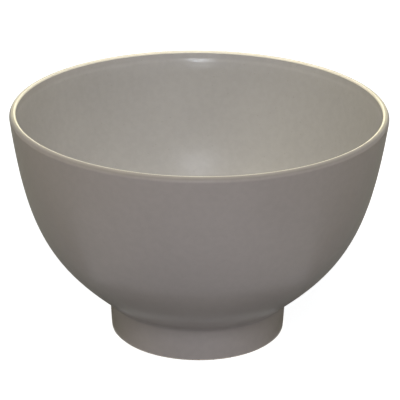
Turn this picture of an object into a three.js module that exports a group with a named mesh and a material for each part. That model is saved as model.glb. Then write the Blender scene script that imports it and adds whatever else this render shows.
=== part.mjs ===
// Tea bowl: a turned clay bowl on a luted foot ring, coated inside and out with satin glaze.
// Millimetres, +Z up. The origin is on the bowl's axis, in the plane that the foot stands on.
import * as THREE from 'three';

// Overall size, over the glaze
const RIM_DIAMETER = 115;
const BOWL_HEIGHT = 72;

// Lip: a broad round outside, which tightens at a slope into the crest, and a tight round inside
const LIP_OUTER_RADIUS = 2.1;
const LIP_CREST_RADIUS = 1.4;
const LIP_CREST_SLOPE = 45;
const LIP_INNER_RADIUS = 0.65;

// Outside wall: one cubic curve, with its slope and its reach at the foot and at the rim
const WALL_FOOT_ANGLE = 41.7;
const WALL_FOOT_REACH = 17.2;
const WALL_RIM_ANGLE = 83.5;
const WALL_RIM_REACH = 42;

// Inside: one cubic curve from the lip down to a level floor
const FLOOR_THICKNESS = 5;
const INSIDE_FLOOR_REACH = 35;
const INSIDE_RIM_ANGLE = 81.5;
const INSIDE_RIM_REACH = 40;

// Foot ring, over the glaze: it draws in slightly on its way down to the table
const FOOT_HEIGHT = 10.7;
const FOOT_TOP_DIAMETER = 54.9;
const FOOT_DRAW_IN = 0.6;
const FOOT_FILLET = 2;
const FOOT_WALL_TOP = 5.4;
const FOOT_WALL_BASE = 4.6;
const FOOT_OUTER_ROUND = 0.6;
const FOOT_INNER_ROUND = 0.6;

// Layers: glaze on clay, slip between the bowl and its foot, and the thin bond between layers
const GLAZE_THICKNESS = 0.4;
const GLAZE_STOP_HEIGHT = 0.6;
const WELL_FILLET = 1.2;
const SLIP_THICKNESS = 0.3;
const BOND = 0.05;

// Facets
const TURN_STEPS = 48;
const WALL_STEPS = 10;
const INSIDE_STEPS = 12;
const LIP_STEPS = 4;
const ROUND_STEPS = 3;

const CLAY_COLOUR = 0xb9aea0;
const SLIP_COLOUR = 0xa89d90;
const GLAZE_COLOUR = 0x857e77;
const INSIDE_COLOUR = 0x968f83;
const LIP_COLOUR = 0xd6cfc0;

const vector = (r, z) => new THREE.Vector2(r, z);
const direction = (angle) => vector(Math.cos(angle), Math.sin(angle));
const quarterTurn = Math.PI / 2;

const wallFootAngle = THREE.MathUtils.degToRad(WALL_FOOT_ANGLE);
const wallRimAngle = THREE.MathUtils.degToRad(WALL_RIM_ANGLE);
const insideRimAngle = THREE.MathUtils.degToRad(INSIDE_RIM_ANGLE);
const crestSlope = THREE.MathUtils.degToRad(LIP_CREST_SLOPE);

const arc = (centre, radius, fromAngle, toAngle) => (
  new THREE.EllipseCurve(centre.x, centre.y, radius, radius, fromAngle, toAngle, toAngle < fromAngle)
);

// The glazed section in the half plane (radius, height), drawn from the foot up the outside,
// over the lip and down the inside, so that the clay always lies to its left.

// The corner between the foot's side and the wall, filled by a round fillet
const footCorner = vector(FOOT_TOP_DIAMETER / 2, FOOT_HEIGHT);
const sideAngle = Math.atan2(FOOT_HEIGHT, FOOT_DRAW_IN);
const cornerHalf = (Math.PI - sideAngle + wallFootAngle) / 2;
const cornerOut = direction(wallFootAngle - cornerHalf);
const filletCurve = arc(
  footCorner.clone().addScaledVector(cornerOut, FOOT_FILLET / Math.sin(cornerHalf)),
  FOOT_FILLET,
  sideAngle + quarterTurn,
  wallFootAngle + quarterTurn,
);

// The lip's three rounds, each tangent to the next
const crestStep = direction(crestSlope).multiplyScalar(LIP_OUTER_RADIUS - LIP_CREST_RADIUS);
const crestCentre = vector(
  RIM_DIAMETER / 2 - LIP_OUTER_RADIUS + crestStep.x,
  BOWL_HEIGHT - LIP_CREST_RADIUS,
);
const outerCentre = crestCentre.clone().sub(crestStep);
const innerCentre = vector(crestCentre.x, BOWL_HEIGHT - LIP_INNER_RADIUS);
const lipOuterCurve = arc(outerCentre, LIP_OUTER_RADIUS, wallRimAngle - quarterTurn, crestSlope);
const lipCrestCurve = arc(crestCentre, LIP_CREST_RADIUS, crestSlope, quarterTurn);
const lipInnerCurve = arc(innerCentre, LIP_INNER_RADIUS, quarterTurn, insideRimAngle + quarterTurn);

const wallFoot = filletCurve.getPoint(1);
const wallRim = lipOuterCurve.getPoint(0);
const wallCurve = new THREE.CubicBezierCurve(
  wallFoot,
  wallFoot.clone().addScaledVector(direction(wallFootAngle), WALL_FOOT_REACH),
  wallRim.clone().addScaledVector(direction(wallRimAngle), -WALL_RIM_REACH),
  wallRim,
);

const floorHeight = FOOT_HEIGHT + FLOOR_THICKNESS;
const insideRim = lipInnerCurve.getPoint(1);
const insideCurve = new THREE.CubicBezierCurve(
  insideRim,
  insideRim.clone().addScaledVector(direction(insideRimAngle), -INSIDE_RIM_REACH),
  vector(INSIDE_FLOOR_REACH, floorHeight),
  vector(0, floorHeight),
);

// A station is a point of the glazed surface with the direction into the clay.
const stations = (curve, steps, start = 0, end = 1) => Array.from({ length: steps + 1 }, (_, step) => {
  const along = THREE.MathUtils.lerp(start, end, step / steps);
  const tangent = curve.getTangent(along);
  return { point: curve.getPoint(along), inward: vector(-tangent.y, tangent.x) };
});
const wall = stations(wallCurve, WALL_STEPS);
const lip = [
  ...stations(lipOuterCurve, LIP_STEPS),
  ...stations(lipCrestCurve, LIP_STEPS).slice(1),
  ...stations(lipInnerCurve, LIP_STEPS).slice(1),
];
const inside = stations(insideCurve, INSIDE_STEPS);
inside.at(-1).inward.set(0, -1);

const sunk = (list, depth) => (
  list.map(({ point, inward }) => point.clone().addScaledVector(inward, depth))
);

// Where the wall, sunk by a depth, meets the level seat of the foot
const wallToe = (depth) => vector(footCorner.x - depth / Math.sin(wallFootAngle), FOOT_HEIGHT);

// The foot's outer side and the well's side, sunk by a depth into the clay of the ring
const footSide = (height, depth) => {
  const drawnIn = FOOT_DRAW_IN * (1 - height / FOOT_HEIGHT);
  return vector(footCorner.x - drawnIn - depth, height);
};
const wellSide = (height, depth) => {
  const thickness = THREE.MathUtils.lerp(FOOT_WALL_BASE, FOOT_WALL_TOP, height / FOOT_HEIGHT);
  return vector(footSide(height, thickness).x + depth, height);
};

// The coats on the wall and on the foot meet half way round the fillet, a bond apart, and their
// backs run on to the sharp corner of the clay, where the glaze pools.
const filletJoint = BOND / 2 / filletCurve.getLength();
const coatCorner = footCorner.clone()
  .addScaledVector(cornerOut, -GLAZE_THICKNESS / Math.sin(cornerHalf));
const coatJoint = BOND / 2 / Math.sin(cornerHalf);

// Heights of the layers under the bowl
const clayDepth = GLAZE_THICKNESS + BOND;
const seatHeight = FOOT_HEIGHT - BOND;
const slipBase = seatHeight - SLIP_THICKNESS;
const ringTop = slipBase - BOND;

// A profile that closes on itself, from the surface of a coat and its back
const loop = (surface, back) => [...surface, ...back.toReversed(), surface[0]];

const roundCorner = (from, corner, to) => (
  new THREE.QuadraticBezierCurve(from, corner, to).getPoints(ROUND_STEPS)
);

// The thrown bowl: wall, lip and floor in one piece of clay, cut level under the floor for the foot.
const bowlBodyProfile = () => [
  vector(0, FOOT_HEIGHT),
  wallToe(clayDepth),
  ...sunk([...wall, ...lip.slice(1, -1), ...inside], clayDepth),
];

// The foot: a ring of clay with a bare standing face, its two lower edges rounded off.
const footRingProfile = () => {
  const outerBase = footSide(0, clayDepth);
  const innerBase = wellSide(0, clayDepth);
  const outerEdge = roundCorner(
    vector(outerBase.x - FOOT_OUTER_ROUND, 0),
    outerBase,
    footSide(FOOT_OUTER_ROUND, clayDepth),
  );
  const innerEdge = roundCorner(
    wellSide(FOOT_INNER_ROUND, clayDepth),
    innerBase,
    vector(innerBase.x + FOOT_INNER_ROUND, 0),
  );
  return [
    ...outerEdge,
    footSide(ringTop, clayDepth),
    wellSide(ringTop, clayDepth),
    ...innerEdge,
    outerEdge[0],
  ];
};

// The slip that lutes the foot ring to the level seat under the bowl.
const footSlipProfile = () => {
  const outerRadius = wallToe(clayDepth).x;
  const innerRadius = wellSide(seatHeight, clayDepth).x;
  return [
    vector(innerRadius, slipBase),
    vector(outerRadius, slipBase),
    vector(outerRadius, seatHeight),
    vector(innerRadius, seatHeight),
    vector(innerRadius, slipBase),
  ];
};

// The dipped coat on the outside wall, from the foot's fillet up to the lip.
const outsideGlazeProfile = () => {
  const fillet = stations(filletCurve, ROUND_STEPS, 0.5 + filletJoint, 1);
  return loop(
    sunk([...fillet, ...wall.slice(1)], 0),
    [
      coatCorner.clone().addScaledVector(direction(wallFootAngle), coatJoint),
      ...sunk(wall, GLAZE_THICKNESS),
    ],
  );
};

// The thin coat over the lip's three rounds, a bond away from the coats below it.
const lipGlazeProfile = () => {
  const bondShare = (curve) => BOND / curve.getLength();
  const coated = [
    ...stations(lipOuterCurve, LIP_STEPS, bondShare(lipOuterCurve), 1),
    ...stations(lipCrestCurve, LIP_STEPS).slice(1),
    ...stations(lipInnerCurve, LIP_STEPS, 0, 1 - bondShare(lipInnerCurve)).slice(1),
  ];
  return loop(sunk(coated, 0), sunk(coated, GLAZE_THICKNESS));
};

// The poured coat on the inside wall and the floor.
const insideGlazeProfile = () => [
  ...sunk(inside, GLAZE_THICKNESS).toReversed(),
  ...sunk(inside, 0),
];

// The brushed coat on the outer side of the foot, from its fillet to a stop just above the table.
const footGlazeProfile = () => loop(
  [
    footSide(GLAZE_STOP_HEIGHT, 0),
    ...sunk(stations(filletCurve, ROUND_STEPS, 0, 0.5 - filletJoint), 0),
  ],
  [
    footSide(GLAZE_STOP_HEIGHT, GLAZE_THICKNESS),
    coatCorner.clone().addScaledVector(direction(sideAngle), -coatJoint),
  ],
);

// The coat in the well under the bowl, down the inner side of the foot to the same stop line.
const baseGlazeProfile = () => {
  const ceiling = seatHeight - GLAZE_THICKNESS;
  const corner = wellSide(ceiling, 0);
  return [
    vector(0, ceiling),
    ...roundCorner(
      vector(corner.x - WELL_FILLET, ceiling),
      corner,
      wellSide(ceiling - WELL_FILLET, 0),
    ),
    wellSide(GLAZE_STOP_HEIGHT, 0),
    wellSide(GLAZE_STOP_HEIGHT, GLAZE_THICKNESS),
    wellSide(seatHeight, GLAZE_THICKNESS),
    vector(0, seatHeight),
  ];
};

const clay = (color) => ({ color, roughness: 0.9, metalness: 0 });
const glaze = (color) => ({ color, roughness: 0.45, metalness: 0 });

// The lathe turns a profile about Y, so the turned piece is stood up onto Z.
const turned = (name, profile, finish) => {
  const geometry = new THREE.LatheGeometry(profile, TURN_STEPS).rotateX(quarterTurn);
  const piece = new THREE.Mesh(geometry, new THREE.MeshStandardMaterial(finish));
  piece.name = name;
  return piece;
};

const teaBowl = new THREE.Group();
teaBowl.add(
  turned('bowl_body', bowlBodyProfile(), clay(CLAY_COLOUR)),
  turned('foot_ring', footRingProfile(), clay(CLAY_COLOUR)),
  turned('foot_slip', footSlipProfile(), clay(SLIP_COLOUR)),
  turned('outside_glaze', outsideGlazeProfile(), glaze(GLAZE_COLOUR)),
  turned('lip_glaze', lipGlazeProfile(), glaze(LIP_COLOUR)),
  turned('inside_glaze', insideGlazeProfile(), glaze(INSIDE_COLOUR)),
  turned('foot_glaze', footGlazeProfile(), glaze(GLAZE_COLOUR)),
  turned('base_glaze', baseGlazeProfile(), glaze(GLAZE_COLOUR)),
);

export default teaBowl;
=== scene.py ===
from math import atan, cos, pi, radians, sin, tan

import bpy
from mathutils import Euler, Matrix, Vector


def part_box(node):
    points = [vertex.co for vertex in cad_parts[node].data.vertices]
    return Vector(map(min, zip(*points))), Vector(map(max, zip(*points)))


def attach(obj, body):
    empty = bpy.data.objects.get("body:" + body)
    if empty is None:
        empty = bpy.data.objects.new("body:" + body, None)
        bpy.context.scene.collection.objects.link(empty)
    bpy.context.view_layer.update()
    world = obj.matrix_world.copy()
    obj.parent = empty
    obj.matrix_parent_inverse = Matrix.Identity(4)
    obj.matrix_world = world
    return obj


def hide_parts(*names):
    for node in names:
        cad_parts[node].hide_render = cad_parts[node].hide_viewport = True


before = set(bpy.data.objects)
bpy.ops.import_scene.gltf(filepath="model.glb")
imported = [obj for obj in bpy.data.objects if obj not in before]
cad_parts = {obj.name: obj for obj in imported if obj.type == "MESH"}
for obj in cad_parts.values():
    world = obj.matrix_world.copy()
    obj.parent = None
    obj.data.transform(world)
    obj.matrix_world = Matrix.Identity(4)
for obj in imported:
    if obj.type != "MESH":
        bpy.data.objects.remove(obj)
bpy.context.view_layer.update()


# BOWL BODY
# The bowl as it comes off the wheel: wall, lip and floor in one piece of stoneware, cut level
# underneath to take the foot. It lies wholly under the glaze, so its section is the glazed
# section sunk by the coat and by the thin bond under it, spun about the bowl's axis.
MM = 0.001
TURN_STEPS = 256
TOUCH = 1e-7
CREASE = radians(30)

glaze_thickness = 0.4 * MM
bond = 0.05 * MM
clay_depth = glaze_thickness + bond

rim_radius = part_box("lip_glaze")[1].x
bowl_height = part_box("lip_glaze")[1].z
seat_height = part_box("bowl_body")[0].z
floor_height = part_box("inside_glaze")[0].z + glaze_thickness

foot_top_radius = 27.45 * MM
foot_draw_in = 0.6 * MM
foot_fillet = 2.0 * MM
wall_foot_angle = radians(39.2)
wall_foot_reach = 23.9 * MM
wall_rim_angle = radians(82.6)
wall_rim_reach = 35.1 * MM
lip_outer_radius = 1.5 * MM
lip_crest_radius = 1.2 * MM
lip_crest_slope = radians(45)
lip_inner_radius = 0.65 * MM
under_lip_angle = radians(86.5)
under_lip_run = 1.5 * MM
ledge_length = 1.5 * MM
ledge_step = 0.1 * MM
inside_rim_angle = radians(82.5)
inside_rim_reach = 35.5 * MM
inside_floor_reach = 35 * MM


def way(angle):
    """A unit step in the half plane of radius and height, at an angle up from level."""
    return Vector((cos(angle), sin(angle)))


def arc(centre, radius, start, end):
    """One round bend of a section, from one angle to another about its centre."""
    reach = 4 / 3 * tan((end - start) / 4) * radius
    first = centre + radius * way(start)
    last = centre + radius * way(end)
    return [first, first + reach * way(start + pi / 2), last - reach * way(end + pi / 2), last]


def straight(start, end):
    """A bend with no bend in it."""
    return [start, start.lerp(end, 1 / 3), start.lerp(end, 2 / 3), end]


def sunk(bend, depth):
    """A bend moved into the clay, which lies on the left of the way that the section is drawn."""
    first, leave, arrive, last = bend
    out, home = (leave - first), (last - arrive)
    new_first = first + depth * out.normalized().orthogonal()
    new_last = last + depth * home.normalized().orthogonal()
    share = (new_last - new_first).length / (last - first).length
    return [new_first, new_first + share * out, new_last - share * home, new_last]


# The glazed section runs from the foot's corner up the outside, over the lip and down the inside.
foot_lean = atan(foot_draw_in / seat_height)
side_angle = pi / 2 - foot_lean
corner_half = (pi - side_angle + wall_foot_angle) / 2
fillet_centre = (
    Vector((foot_top_radius, seat_height))
    + foot_fillet / sin(corner_half) * way(wall_foot_angle - corner_half)
)
fillet_start = side_angle + pi / 2
fillet_end = wall_foot_angle + pi / 2
fillet_middle = (fillet_start + fillet_end) / 2
lower_fillet = arc(fillet_centre, foot_fillet, fillet_start, fillet_middle)
upper_fillet = arc(fillet_centre, foot_fillet, fillet_middle, fillet_end)

crest_step = (lip_outer_radius - lip_crest_radius) * way(lip_crest_slope)
crest_centre = Vector((rim_radius - lip_outer_radius + crest_step.x, bowl_height - lip_crest_radius))
outer_centre = crest_centre - crest_step
inner_centre = Vector((crest_centre.x, bowl_height - lip_inner_radius))
outer_round = arc(outer_centre, lip_outer_radius, wall_rim_angle - pi / 2, lip_crest_slope)
crest = arc(crest_centre, lip_crest_radius, lip_crest_slope, pi / 2)
inner_round = arc(inner_centre, lip_inner_radius, pi / 2, under_lip_angle + pi / 2)

wall = [
    upper_fillet[-1],
    upper_fillet[-1] + wall_foot_reach * way(wall_foot_angle),
    outer_round[0] - wall_rim_reach * way(wall_rim_angle),
    outer_round[0],
]

# Just under the lip the potter's finger has left a ledge, too slight to feel: the wall below it
# stands in by a tenth of a millimetre.
ledge_angle = (under_lip_angle + inside_rim_angle) / 2
ledge_top = inner_round[-1] - under_lip_run * way(under_lip_angle)
ledge_foot = ledge_top - ledge_length * way(ledge_angle) + ledge_step * way(ledge_angle + pi / 2)
under_lip = straight(inner_round[-1], ledge_top)
ledge = [
    ledge_top,
    ledge_top - ledge_length / 3 * way(under_lip_angle),
    ledge_foot + ledge_length / 3 * way(inside_rim_angle),
    ledge_foot,
]
inside = [
    ledge_foot,
    ledge_foot - inside_rim_reach * way(inside_rim_angle),
    Vector((inside_floor_reach, floor_height)),
    Vector((0, floor_height)),
]


def line_of_edges(name, bends, bend_steps, closed=False):
    """Draws a section as a curve beside the axis, with straight runs between bends that don't
    touch, and makes it a mesh of edges."""
    knots = []
    for first, leave, arrive, last in bends:
        if knots and (knots[-1][0] - first).length < TOUCH:
            knots[-1][2] = leave
        else:
            knots.append([first, None, leave])
        knots.append([last, arrive, None])
    bpy.ops.object.select_all(action="DESELECT")
    bpy.ops.curve.primitive_bezier_curve_add()
    drawn = bpy.context.object
    drawn.name = name
    drawn.data.name = name
    drawn.data.resolution_u = bend_steps
    spline = drawn.data.splines[0]
    spline.bezier_points.add(len(knots) - len(spline.bezier_points))
    spline.use_cyclic_u = closed
    for point, (place, left, right) in zip(spline.bezier_points, knots):
        point.handle_left_type = "FREE" if left else "VECTOR"
        point.handle_right_type = "FREE" if right else "VECTOR"
        point.co = (place.x, 0, place.y)
        left, right = left or place, right or place
        point.handle_left = (left.x, 0, left.y)
        point.handle_right = (right.x, 0, right.y)
    bpy.ops.object.convert(target="MESH")
    return bpy.context.object


def turned(name, bends, bend_steps, closed=False, faces_axis=False):
    """Spins a section round the bowl's axis, closes its seam and its poles, and points its faces
    out, or towards the axis."""
    piece = line_of_edges(name, bends, bend_steps, closed)
    bpy.ops.object.mode_set(mode="EDIT")
    bpy.ops.mesh.select_all(action="SELECT")
    bpy.ops.mesh.spin(steps=TURN_STEPS, angle=2 * pi, center=(0, 0, 0), axis=(0, 0, 1))
    bpy.ops.mesh.select_all(action="SELECT")
    bpy.ops.mesh.remove_doubles(threshold=TOUCH)
    bpy.ops.mesh.normals_make_consistent(inside=False)
    if faces_axis:
        bpy.ops.mesh.flip_normals()
    bpy.ops.object.mode_set(mode="OBJECT")
    return piece


def smooth(piece):
    """Smooth shading, except across edges sharper than the crease."""
    bpy.ops.object.select_all(action="DESELECT")
    piece.select_set(True)
    bpy.context.view_layer.objects.active = piece
    bpy.ops.object.shade_smooth_by_angle(angle=CREASE)


glazed_section = [wall, outer_round, crest, inner_round, under_lip, ledge, inside]
clay_section = [sunk(bend, clay_depth) for bend in glazed_section]
toe = Vector((foot_top_radius - clay_depth / sin(wall_foot_angle), seat_height))
seat = straight(Vector((0, seat_height)), toe)
bowl_body = turned("thrown_bowl", [seat, *clay_section], bend_steps=16)
smooth(bowl_body)


def new_group(name, inputs, outputs):
    """A shader node group with named sockets. Returns it with its input and output nodes."""
    group = bpy.data.node_groups.new(name, "ShaderNodeTree")
    for label, kind, default in inputs:
        group.interface.new_socket(label, in_out="INPUT", socket_type=kind).default_value = default
    for label, kind in outputs:
        group.interface.new_socket(label, in_out="OUTPUT", socket_type=kind)
    return group, group.nodes.new("NodeGroupInput"), group.nodes.new("NodeGroupOutput")


def add(tree, kind, **settings):
    """A node of a kind. A setting is a property of the node, or the value of its input."""
    node = tree.nodes.new("ShaderNode" + kind)
    for label, value in settings.items():
        if hasattr(node, label):
            setattr(node, label, value)
        else:
            node.inputs[label.replace("_", " ")].default_value = value
    return node


def noise(tree, place, scale, detail):
    """A soft noise from 0 to 1 over the piece."""
    node = add(tree, "TexNoise", Scale=scale, Detail=detail)
    tree.links.new(place, node.inputs["Vector"])
    return node.outputs["Fac"]


def shift(tree, value, low, high):
    """A noise of 0.3 to 0.7, where nearly all of it lies, spread from low to high."""
    node = add(tree, "MapRange", From_Min=0.3, From_Max=0.7, To_Min=low, To_Max=high)
    node.interpolation_type = "SMOOTHSTEP"
    tree.links.new(value, node.inputs["Value"])
    return node.outputs["Result"]


def times(tree, colour, value):
    """A colour made lighter or darker by a value that changes over the surface."""
    node = add(tree, "VectorMath", operation="SCALE")
    tree.links.new(colour, node.inputs[0])
    tree.links.new(value, node.inputs["Scale"])
    return node.outputs["Vector"]


# A wave texture of scale 1 runs through 20 radians in a metre.
WAVE_RATE = 20
ring_spacing = 0.8 * MM


def turning_rings(tree, place):
    """The fine rings that a turning tool leaves round the axis, from 0 to 1."""
    scale = 2 * pi / (WAVE_RATE * ring_spacing)
    node = add(tree, "TexWave", wave_type="RINGS", Scale=scale, Distortion=1.5, Detail=2)
    node.rings_direction = "Z"
    tree.links.new(place, node.inputs["Vector"])
    return node.outputs["Fac"]


RGB, NUMBER = "NodeSocketColor", "NodeSocketFloat"
stoneware_grain, given, made = new_group(
    "stoneware_grain",
    [("Clay", RGB, (0.5, 0.5, 0.5, 1)), ("Grit", RGB, (0.1, 0.1, 0.1, 1))],
    [("Colour", RGB), ("Roughness", NUMBER), ("Height", NUMBER)],
)
tree = stoneware_grain
place = add(tree, "TexCoord").outputs["Object"]
patches = shift(tree, noise(tree, place, scale=90, detail=3), 0.92, 1.08)
grains = noise(tree, place, scale=2600, detail=4)
rings = turning_rings(tree, place)
grit = add(tree, "TexVoronoi", Scale=900)
tree.links.new(place, grit.inputs["Vector"])
specks = add(tree, "MapRange", From_Min=0.16, From_Max=0.30, To_Min=1, To_Max=0)
tree.links.new(grit.outputs["Distance"], specks.inputs["Value"])
mixed = add(tree, "MixRGB")
tree.links.new(specks.outputs["Result"], mixed.inputs["Fac"])
tree.links.new(times(tree, given.outputs["Clay"], patches), mixed.inputs["Color1"])
tree.links.new(given.outputs["Grit"], mixed.inputs["Color2"])
grainy = times(tree, mixed.outputs["Color"], shift(tree, grains, 0.88, 1.12))
tree.links.new(grainy, made.inputs["Colour"])
tree.links.new(shift(tree, grains, 0.72, 0.92), made.inputs["Roughness"])
ridged = add(tree, "Math", operation="ADD")
tree.links.new(grains, ridged.inputs[0])
tree.links.new(rings, ridged.inputs[1])
tree.links.new(ridged.outputs["Value"], made.inputs["Height"])


def new_material(name):
    """A material with its shader, an empty tree otherwise. Returns the material, tree and shader."""
    material = bpy.data.materials.new(name)
    material.use_nodes = True
    return material, material.node_tree, material.node_tree.nodes["Principled BSDF"]


def place_group(tree, group, **values):
    """A group in a material, with its own values."""
    node = tree.nodes.new("ShaderNodeGroup")
    node.node_tree = group
    node.name = group.name
    for label, value in values.items():
        node.inputs[label.replace("_", " ")].default_value = value
    return node


def bumped(tree, shader, height, distance, strength):
    """Raises the surface by a height, for the light only."""
    bump = add(tree, "Bump", Distance=distance, Strength=strength)
    tree.links.new(height, bump.inputs["Height"])
    tree.links.new(bump.outputs["Normal"], shader.inputs["Normal"])


def stoneware(name, clay, grit, shine, relief, strength):
    """Fired clay without glaze, in the colours of the clay and of the grit in it."""
    material, tree, shader = new_material(name)
    grain = place_group(tree, stoneware_grain, Clay=clay, Grit=grit)
    tree.links.new(grain.outputs["Colour"], shader.inputs["Base Color"])
    tree.links.new(grain.outputs["Roughness"], shader.inputs["Roughness"])
    shader.inputs["Specular IOR Level"].default_value = shine
    bumped(tree, shader, grain.outputs["Height"], relief, strength)
    return material


CLAY_COLOUR = (0.42, 0.36, 0.30, 1)
GRIT_COLOUR = (0.16, 0.12, 0.09, 1)
bare_clay = stoneware(
    "bare_stoneware", CLAY_COLOUR, GRIT_COLOUR, shine=0.25, relief=0.05 * MM, strength=0.6
)


def dress(piece, material, slot, *nodes):
    """Gives a piece its material, hangs it on the body it rides on, and hides the model's parts that
    it stands in for.
    """
    piece.data.materials.clear()
    piece.data.materials.append(material)
    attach(piece, "root")
    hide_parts(*nodes)


dress(bowl_body, bare_clay, "clay", "bowl_body")


# FOOT RING
# A ring of the same clay, turned to a straight side that draws in a little towards the table, with
# both lower edges rounded off. Its standing face is wiped bare of glaze, so that it fires free.
foot_wall_top = 5.4 * MM
foot_wall_base = 4.6 * MM
foot_outer_round = 0.6 * MM
foot_inner_round = 0.6 * MM
slip_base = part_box("foot_slip")[0].z
ring_top = slip_base - bond


def foot_side(height, depth):
    """The foot's outer side at a height, sunk by a depth into the clay."""
    return Vector((foot_top_radius - foot_draw_in * (1 - height / seat_height) - depth, height))


def well_side(height, depth):
    """The side of the well inside the foot, sunk by a depth into the clay."""
    share = height / seat_height
    thickness = foot_wall_base + share * (foot_wall_top - foot_wall_base)
    return foot_side(height, thickness) + Vector((depth, 0))


# A bend drawn this far to its corner is close to a quarter circle.
CORNER_PULL = 0.55


def rounded(start, corner, end):
    """A bend that rounds a corner off."""
    return [start, start.lerp(corner, CORNER_PULL), end.lerp(corner, CORNER_PULL), end]


outer_base = foot_side(0, clay_depth)
inner_base = well_side(0, clay_depth)
foot_ring = turned(
    "foot_ring_clay",
    [
        rounded(
            outer_base - Vector((foot_outer_round, 0)),
            outer_base,
            foot_side(foot_outer_round, clay_depth),
        ),
        rounded(
            foot_side(ring_top - bond, clay_depth),
            foot_side(ring_top, clay_depth),
            foot_side(ring_top, clay_depth + bond),
        ),
        rounded(
            well_side(ring_top, clay_depth + bond),
            well_side(ring_top, clay_depth),
            well_side(ring_top - bond, clay_depth),
        ),
        rounded(
            well_side(foot_inner_round, clay_depth),
            inner_base,
            inner_base + Vector((foot_inner_round, 0)),
        ),
    ],
    bend_steps=8,
    closed=True,
)
smooth(foot_ring)
dress(foot_ring, bare_clay, "clay", "foot_ring")


# FOOT SLIP
# Liquid clay brushed on to lute the ring to the bowl. It fires into a thin washer with round edges
# between the bowl's level seat and the top of the ring.
slip_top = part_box("foot_slip")[1].z
slip_edge = (slip_top - slip_base) / 2
slip_middle = (slip_top + slip_base) / 2
slip_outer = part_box("foot_slip")[1].x - slip_edge
slip_inner = well_side(slip_middle, clay_depth).x + slip_edge
foot_slip = turned(
    "luting_slip",
    [
        arc(Vector((slip_outer, slip_middle)), slip_edge, -pi / 2, pi / 2),
        arc(Vector((slip_inner, slip_middle)), slip_edge, pi / 2, 3 * pi / 2),
    ],
    bend_steps=8,
    closed=True,
)
smooth(foot_slip)

SLIP_COLOUR = (0.36, 0.31, 0.26, 1)
SLIP_GRIT_COLOUR = (0.25, 0.21, 0.17, 1)
fired_slip = stoneware(
    "fired_slip", SLIP_COLOUR, SLIP_GRIT_COLOUR, shine=0.5, relief=0.03 * MM, strength=0.4
)
dress(foot_slip, fired_slip, "slip", "foot_slip")


# INSIDE GLAZE
# Satin-matt taupe glaze, poured in, swirled round and tipped out again. It covers the floor and the
# wall up to the lip, cloudy where it ran, under a thin clear skin. Its colour is painted lighter than
# the outside's, as painted light for the light that falls into the bowl.
def coat(name, bends, bend_steps, faces_axis=False):
    """A turned skin with the glaze's thickness behind it."""
    piece = turned(name, bends, bend_steps, faces_axis=faces_axis)
    shell = piece.modifiers.new("glaze_thickness", "SOLIDIFY")
    shell.thickness = glaze_thickness
    shell.offset = -1
    shell.use_even_offset = True
    shell.use_quality_normals = True
    bpy.ops.object.modifier_apply(modifier=shell.name)
    return piece


inside_glaze = coat("poured_glaze", [under_lip, ledge, inside], bend_steps=32, faces_axis=True)
smooth(inside_glaze)

satin_surface, given, made = new_group(
    "satin_surface",
    [
        ("Glaze", RGB, (0.2, 0.2, 0.2, 1)),
        ("Iron", RGB, (0.1, 0.08, 0.06, 1)),
        ("Matt", NUMBER, 0.5),
        ("Rings", NUMBER, 0),
    ],
    [("Colour", RGB), ("Roughness", NUMBER), ("Height", NUMBER)],
)
tree = satin_surface
place = add(tree, "TexCoord").outputs["Object"]
clouds = shift(tree, noise(tree, place, scale=26, detail=3), 0.965, 1.035)
mottle = shift(tree, noise(tree, place, scale=520, detail=3), 0.975, 1.025)
iron = add(tree, "TexVoronoi", Scale=420)
tree.links.new(place, iron.inputs["Vector"])
specks = add(tree, "MapRange", From_Min=0.05, From_Max=0.11, To_Min=0.18, To_Max=0)
tree.links.new(iron.outputs["Distance"], specks.inputs["Value"])
mixed = add(tree, "MixRGB")
tree.links.new(specks.outputs["Result"], mixed.inputs["Fac"])
tree.links.new(times(tree, given.outputs["Glaze"], clouds), mixed.inputs["Color1"])
tree.links.new(given.outputs["Iron"], mixed.inputs["Color2"])
tree.links.new(times(tree, mixed.outputs["Color"], mottle), made.inputs["Colour"])
matt = add(tree, "Math", operation="MULTIPLY")
tree.links.new(given.outputs["Matt"], matt.inputs[0])
tree.links.new(shift(tree, noise(tree, place, scale=60, detail=2), 0.94, 1.06), matt.inputs[1])
tree.links.new(matt.outputs["Value"], made.inputs["Roughness"])
ridges = add(tree, "Math", operation="MULTIPLY_ADD")
tree.links.new(turning_rings(tree, place), ridges.inputs[0])
tree.links.new(given.outputs["Rings"], ridges.inputs[1])
tree.links.new(noise(tree, place, scale=1500, detail=2), ridges.inputs[2])
tree.links.new(ridges.outputs["Value"], made.inputs["Height"])

# Painted light: the inside glaze is a lighter copy of the outside glaze's colour.
INSIDE_LIT_COLOUR = (0.306, 0.288, 0.281, 1)
IRON_COLOUR = (0.12, 0.10, 0.08, 1)
SKIN_MATT = 0.18


def satin_glaze(name, colour, matt, rings=0):
    """The satin-matt glaze over one piece. Thin glaze shows the rings of the clay under it."""
    material, tree, shader = new_material(name)
    surface = place_group(tree, satin_surface, Glaze=colour, Iron=IRON_COLOUR, Matt=matt, Rings=rings)
    tree.links.new(surface.outputs["Colour"], shader.inputs["Base Color"])
    tree.links.new(surface.outputs["Roughness"], shader.inputs["Roughness"])
    bumped(tree, shader, surface.outputs["Height"], distance=0.01 * MM, strength=0.3)
    return material


inside_satin = satin_glaze("inside_satin", INSIDE_LIT_COLOUR, matt=0.36)
clear_skin = inside_satin.node_tree.nodes["Principled BSDF"]
clear_skin.inputs["Coat Weight"].default_value = 1
clear_skin.inputs["Coat Roughness"].default_value = SKIN_MATT
dress(inside_glaze, inside_satin, "satin_glaze", "inside_glaze")


# OUTSIDE GLAZE
# The same glaze on the outside wall, put on by dipping the bowl upside down. It runs from the lip
# down to the corner of the foot, where it pools into a small fillet.
outside_glaze = coat("dipped_glaze", [upper_fillet, wall], bend_steps=32)
smooth(outside_glaze)

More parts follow.
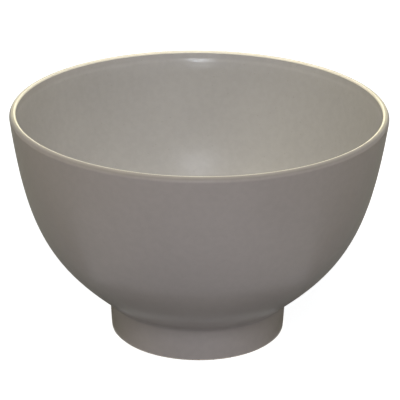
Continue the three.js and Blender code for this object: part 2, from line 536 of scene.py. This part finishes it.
GLAZE_COLOUR = (0.182, 0.159, 0.148, 1)
GLAZE_MATT = 0.30
outside_satin = satin_glaze("outside_satin", GLAZE_COLOUR, GLAZE_MATT)
dress(outside_glaze, outside_satin, "satin_glaze", "outside_glaze")


# LIP GLAZE
# The coat over the lip: a soft dark round outside, a narrow crest, and a tight round inside, where
# the glaze draws thin in the fire and breaks to a line of cream. The dark of the outer round is
# painted shade, and the cream line is partly that break and partly a painted highlight.
lip_glaze = coat("lip_coat", [outer_round, crest, inner_round], bend_steps=12)
smooth(lip_glaze)

# Painted shade: the lip's outer round is darker than the glaze below it.
LIP_SHADE_COLOUR = (0.138, 0.122, 0.112, 1)
THIN_COLOUR = (0.192, 0.170, 0.155, 1)
# The cream line is partly the glaze breaking thin and partly a painted highlight along the lip.
CREAM_HIGHLIGHT_COLOUR = (0.58, 0.53, 0.45, 1)
lip_width = 1.95 * MM
# A ramp across the lip from the inside out: a cream line that is partly a painted highlight, the
# crest, the outer round painted darker as shade, then the glaze.
lip_cream_and_shade, _, made = new_group("lip_cream_and_shade", [], [("Colour", RGB)])
tree = lip_cream_and_shade
spot = add(tree, "SeparateXYZ")
tree.links.new(add(tree, "TexCoord").outputs["Object"], spot.inputs["Vector"])
level = add(tree, "CombineXYZ")
tree.links.new(spot.outputs["X"], level.inputs["X"])
tree.links.new(spot.outputs["Y"], level.inputs["Y"])
from_axis = add(tree, "VectorMath", operation="LENGTH")
tree.links.new(level.outputs["Vector"], from_axis.inputs[0])
across = add(tree, "MapRange", From_Min=rim_radius - lip_width, From_Max=rim_radius)
tree.links.new(from_axis.outputs["Value"], across.inputs["Value"])
bands = add(tree, "ValToRGB")
stops = bands.color_ramp.elements
stops[0].position, stops[0].color = 0.27, CREAM_HIGHLIGHT_COLOUR
stops[1].position, stops[1].color = 0.41, THIN_COLOUR
for position, colour in ((0.88, LIP_SHADE_COLOUR), (1, GLAZE_COLOUR)):
    stops.new(position).color = colour
tree.links.new(across.outputs["Result"], bands.inputs["Fac"])
tree.links.new(bands.outputs["Color"], made.inputs["Colour"])

lip_satin = satin_glaze("lip_satin", LIP_SHADE_COLOUR, matt=0.42)
tree = lip_satin.node_tree
surface = tree.nodes[satin_surface.name]
lip_paint = place_group(tree, lip_cream_and_shade)
tree.links.new(lip_paint.outputs["Colour"], surface.inputs["Glaze"])
dress(lip_glaze, lip_satin, "thin_glaze", "lip_glaze")


# FOOT GLAZE
# Glaze brushed on the outer side of the foot. Its colour is painted a little paler than the dipped
# coat, as painted light on the foot. It runs from the pooled corner down to a stop line just above
# the table, where the brush leaves a rounded and slightly uneven edge.
glaze_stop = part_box("foot_glaze")[0].z
side_run = straight(foot_side(glaze_stop, 0), lower_fillet[0])
foot_glaze = coat("brushed_glaze", [side_run, lower_fillet], bend_steps=16)
edge_round = 0.12 * MM
edge_wander = 0.25 * MM
brush_strokes = bpy.data.textures.new("brush_strokes", "CLOUDS")
brush_strokes.noise_scale = 5 * MM


def pick(piece, wanted):
    """Goes into edit mode with only the wanted points of a piece selected."""
    bpy.ops.object.mode_set(mode="EDIT")
    bpy.ops.mesh.select_mode(type="VERT")
    bpy.ops.mesh.select_all(action="DESELECT")
    bpy.ops.object.mode_set(mode="OBJECT")
    for point in piece.data.vertices:
        point.select = wanted(point.co)
    bpy.ops.object.mode_set(mode="EDIT")


def brushed_edge(piece):
    """Rounds the edge that the brush left at the stop line, and lets it wander up a little."""
    pick(piece, lambda place: place.z < glaze_stop + edge_round)
    bpy.ops.mesh.region_to_loop()
    bpy.ops.mesh.bevel(offset=edge_round, segments=3)
    bpy.ops.object.mode_set(mode="OBJECT")
    edge = piece.vertex_groups.new(name="stop_line")
    low = [point.index for point in piece.data.vertices if point.co.z < glaze_stop + 2 * edge_round]
    edge.add(low, 1, "REPLACE")
    wander = piece.modifiers.new("wander", "DISPLACE")
    wander.texture = brush_strokes
    wander.vertex_group = edge.name
    wander.direction = "Z"
    wander.mid_level = 0
    wander.strength = edge_wander
    bpy.ops.object.modifier_apply(modifier=wander.name)


brushed_edge(foot_glaze)
smooth(foot_glaze)

# Painted light: the foot's glaze is a paler copy of the outside glaze's colour.
FOOT_LIT_COLOUR = (0.192, 0.168, 0.156, 1)
foot_satin = satin_glaze("foot_satin", FOOT_LIT_COLOUR, GLAZE_MATT)
dress(foot_glaze, foot_satin, "satin_glaze", "foot_glaze")


# BASE GLAZE
# The same glaze in the well under the bowl: a level ceiling, a round corner and the inner side of the
# foot down to the stop line. It is brushed so thin that the rings of the turning tool show in it.
well_fillet = 1.2 * MM
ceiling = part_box("base_glaze")[1].z - glaze_thickness
well_corner = well_side(ceiling, 0)
well_turn = rounded(
    well_side(ceiling - well_fillet, 0), well_corner, well_corner - Vector((well_fillet, 0))
)
well_run = straight(well_side(glaze_stop, 0), well_turn[0])
ceiling_run = straight(well_turn[-1], Vector((0, ceiling)))
base_glaze = coat(
    "well_glaze", [well_run, well_turn, ceiling_run], bend_steps=12, faces_axis=True
)
brushed_edge(base_glaze)
smooth(base_glaze)

WELL_RINGS = 6
well_satin = satin_glaze("well_satin", GLAZE_COLOUR, GLAZE_MATT, WELL_RINGS)
dress(base_glaze, well_satin, "satin_glaze", "base_glaze")


# FLOOR
# A plain table top of pale painted board, that goes on past the view. It shows white to the camera
# and in the glaze, and keeps the bowl's shadow.
FLOOR_SIZE = 6
FLOOR_COLOUR = (0.4, 0.4, 0.4, 1)
FLOOR_GLOW = 0.9
bpy.ops.object.select_all(action="DESELECT")
bpy.ops.mesh.primitive_plane_add(size=FLOOR_SIZE)
floor = bpy.context.object
floor.name = "floor"


def sees_background(tree):
    """1 for what the camera, a gloss or a clear material sees, and 0 for the light on the bowl."""
    path = tree.nodes.new("ShaderNodeLightPath")
    seen = path.outputs["Is Camera Ray"]
    for label in ("Is Glossy Ray", "Is Transmission Ray"):
        either = add(tree, "Math", operation="MAXIMUM")
        tree.links.new(seen, either.inputs[0])
        tree.links.new(path.outputs[label], either.inputs[1])
        seen = either.outputs["Value"]
    return seen


table_top, tree, shader = new_material("table_top")
shader.inputs["Base Color"].default_value = FLOOR_COLOUR
shader.inputs["Roughness"].default_value = 1
shader.inputs["Specular IOR Level"].default_value = 0
shader.inputs["Emission Color"].default_value = (1, 1, 1, 1)
glow = add(tree, "Math", operation="MULTIPLY")
glow.inputs[1].default_value = FLOOR_GLOW
tree.links.new(sees_background(tree), glow.inputs[0])
tree.links.new(glow.outputs["Value"], shader.inputs["Emission Strength"])
floor.data.materials.append(table_top)


# TABLE PAPERS
# A ring of dark card on the table keeps the white table out of the glaze, so that the bowl's sides
# and underside stay dark, and half a ring of white paper in front shows only in the gloss. The
# camera looks through both, and neither throws a shadow.
CARD_HEIGHT = 0.1 * MM
CARD_HOLE = 27.6 * MM
CARD_RADIUS = 800 * MM
CARD_COLOUR = (0.18, 0.18, 0.18, 1)
SHEET_HEIGHT = 0.2 * MM
SHEET_HOLE = 50 * MM
SHEET_RADIUS = 125 * MM
SHEET_BACK = -16 * MM
SHEET_GLOW = 0.55
RING_CORNERS = 128


def table_ring(name, hole, radius, height):
    """A flat ring just above the table, that the camera doesn't see."""
    bpy.ops.object.select_all(action="DESELECT")
    bpy.ops.mesh.primitive_circle_add(vertices=RING_CORNERS, radius=hole, location=(0, 0, height))
    ring = bpy.context.object
    ring.name = name
    bpy.ops.object.mode_set(mode="EDIT")
    bpy.ops.mesh.select_mode(type="VERT")
    bpy.ops.mesh.select_all(action="SELECT")
    bpy.ops.mesh.extrude_edges_move()
    bpy.ops.transform.resize(value=(radius / hole, radius / hole, 1))
    bpy.ops.object.mode_set(mode="OBJECT")
    ring.visible_camera = False
    ring.visible_shadow = False
    return ring


card = table_ring("dark_card", CARD_HOLE, CARD_RADIUS, CARD_HEIGHT)
black_paper, tree, shader = new_material("black_paper")
shader.inputs["Base Color"].default_value = CARD_COLOUR
shader.inputs["Roughness"].default_value = 1
shader.inputs["Specular IOR Level"].default_value = 0
card.data.materials.append(black_paper)

sheet = table_ring("white_sheet", SHEET_HOLE, SHEET_RADIUS, SHEET_HEIGHT)
pick(sheet, lambda place: place.y > SHEET_BACK)
bpy.ops.mesh.delete(type="VERT")
bpy.ops.object.mode_set(mode="OBJECT")
sheet.visible_diffuse = False
white_paper, tree, shader = new_material("white_paper")
shader.inputs["Base Color"].default_value = (0, 0, 0, 1)
shader.inputs["Specular IOR Level"].default_value = 0
shader.inputs["Emission Color"].default_value = (1, 1, 1, 1)
shader.inputs["Emission Strength"].default_value = SHEET_GLOW
sheet.data.materials.append(white_paper)


# STUDIO LIGHT
# A key light in front, soft boxes at the sides, overhead and behind, low strips along the table and a
# light on the backdrop, in a pale room that is dim behind the camera. Most are filtered and don't
# shine in the glaze. A lamp's share is how bright it would show a white card that faces it.
LAMP_DISTANCE = 1.5
ROOM_FILL = 0.39
BOWL_MIDDLE = Vector((0, 0, bowl_height / 2))


def lamp(name, azimuth, elevation, width, height, share, tint, shines=True):
    """A soft box at an azimuth right of the camera and an elevation, turned to the bowl. It may be
    filtered, so that it lights the glaze and doesn't shine in it."""
    bpy.ops.object.select_all(action="DESELECT")
    level = radians(azimuth)
    rise = radians(elevation)
    back = Vector((sin(level) * cos(rise), -cos(level) * cos(rise), sin(rise)))
    bpy.ops.object.light_add(type="AREA", location=BOWL_MIDDLE + LAMP_DISTANCE * back)
    box = bpy.context.object
    box.name = name
    box.rotation_euler = back.to_track_quat("Z", "Y").to_euler()
    box.visible_camera = False
    box.visible_glossy = shines
    box.data.shape = "RECTANGLE"
    box.data.size = width
    box.data.size_y = height
    box.data.energy = share * pi ** 2 * LAMP_DISTANCE ** 2
    box.data.color = tint


COOL = (0.95, 1, 1.10)
SKY = (0.85, 1, 1.45)
WARM = (1.10, 1.01, 0.45)
AMBER = (1.13, 1, 0.62)
WHITE = (1, 1, 1)
lamp("front_box", 0, 44, 0.6, 0.25, 0.48, COOL, shines=False)
lamp("left_key", -55, 44, 0.3, 0.25, 0.075, WHITE, shines=False)
lamp("right_key", 55, 44, 0.3, 0.25, 0.075, WHITE, shines=False)
lamp("left_box", -78, 48, 1.0, 1.0, 0.35, WARM, shines=False)
lamp("right_box", 78, 48, 1.0, 1.0, 0.23, WARM, shines=False)
lamp("top_box", 0, 88, 1.0, 1.0, 0.40, WHITE, shines=False)
lamp("front_strip", 0, -0.6, 1.0, 0.04, 0.42, COOL, shines=False)
lamp("left_strip", -78, 4, 1.0, 0.07, 0.04, AMBER, shines=False)
lamp("right_strip", 78, 4, 1.0, 0.07, 0.04, AMBER, shines=False)
lamp("high_light", 0, 50, 0.35, 0.2, 0.007, COOL)
lamp("low_light", 0, 3.5, 0.30, 0.06, 0.10, COOL)
lamp("backdrop_light", 180, 13, 1.5, 0.6, 0.32, WARM)
lamp("back_box", 180, 20, 1.0, 0.4, 0.24, SKY, shines=False)

room = bpy.data.worlds.new("room")
bpy.context.scene.world = room
room.use_nodes = True
tree = room.node_tree
fill = tree.nodes["Background"]
fill.inputs["Color"].default_value = (1, 1, 1, 1)
fill.inputs["Strength"].default_value = ROOM_FILL
white = add(tree, "Background", Color=(1, 1, 1, 1))
facing = add(tree, "SeparateXYZ")
tree.links.new(add(tree, "TexCoord").outputs["Generated"], facing.inputs["Vector"])
dimmed = add(tree, "MapRange", From_Min=-0.3, From_Max=0.3, To_Min=0.1, To_Max=1)
tree.links.new(facing.outputs["Y"], dimmed.inputs["Value"])
shown = add(tree, "Math", operation="MAXIMUM")
tree.links.new(dimmed.outputs["Result"], shown.inputs[0])
tree.links.new(tree.nodes.new("ShaderNodeLightPath").outputs["Is Camera Ray"], shown.inputs[1])
tree.links.new(shown.outputs["Value"], white.inputs["Strength"])
either = add(tree, "MixShader")
tree.links.new(sees_background(tree), either.inputs["Fac"])
tree.links.new(fill.outputs["Background"], either.inputs[1])
tree.links.new(white.outputs["Background"], either.inputs[2])
tree.links.new(either.outputs["Shader"], tree.nodes["World Output"].inputs["Surface"])


# CAMERA
# A camera with a long lens, on a stand in front of the bowl. It looks down on the bowl by 22 degrees,
# and hangs a little out of level.
camera_distance = 626.7 * MM
camera_height = 296.5 * MM
camera_dip = radians(22.09)
camera_turn = radians(-0.041)
camera_roll = radians(0.52)
bpy.ops.object.camera_add(location=(0, -camera_distance, camera_height))
camera = bpy.context.object
camera.rotation_mode = "QUATERNION"
camera.rotation_quaternion = (
    Euler((0, 0, camera_turn)).to_quaternion()
    @ Euler((pi / 2 - camera_dip, 0, 0)).to_quaternion()
    @ Euler((0, 0, camera_roll)).to_quaternion()
)
camera.data.lens = 197.5
camera.data.sensor_width = 36
bpy.context.scene.camera = camera
bpy.context.scene.view_settings.view_transform = "Standard"
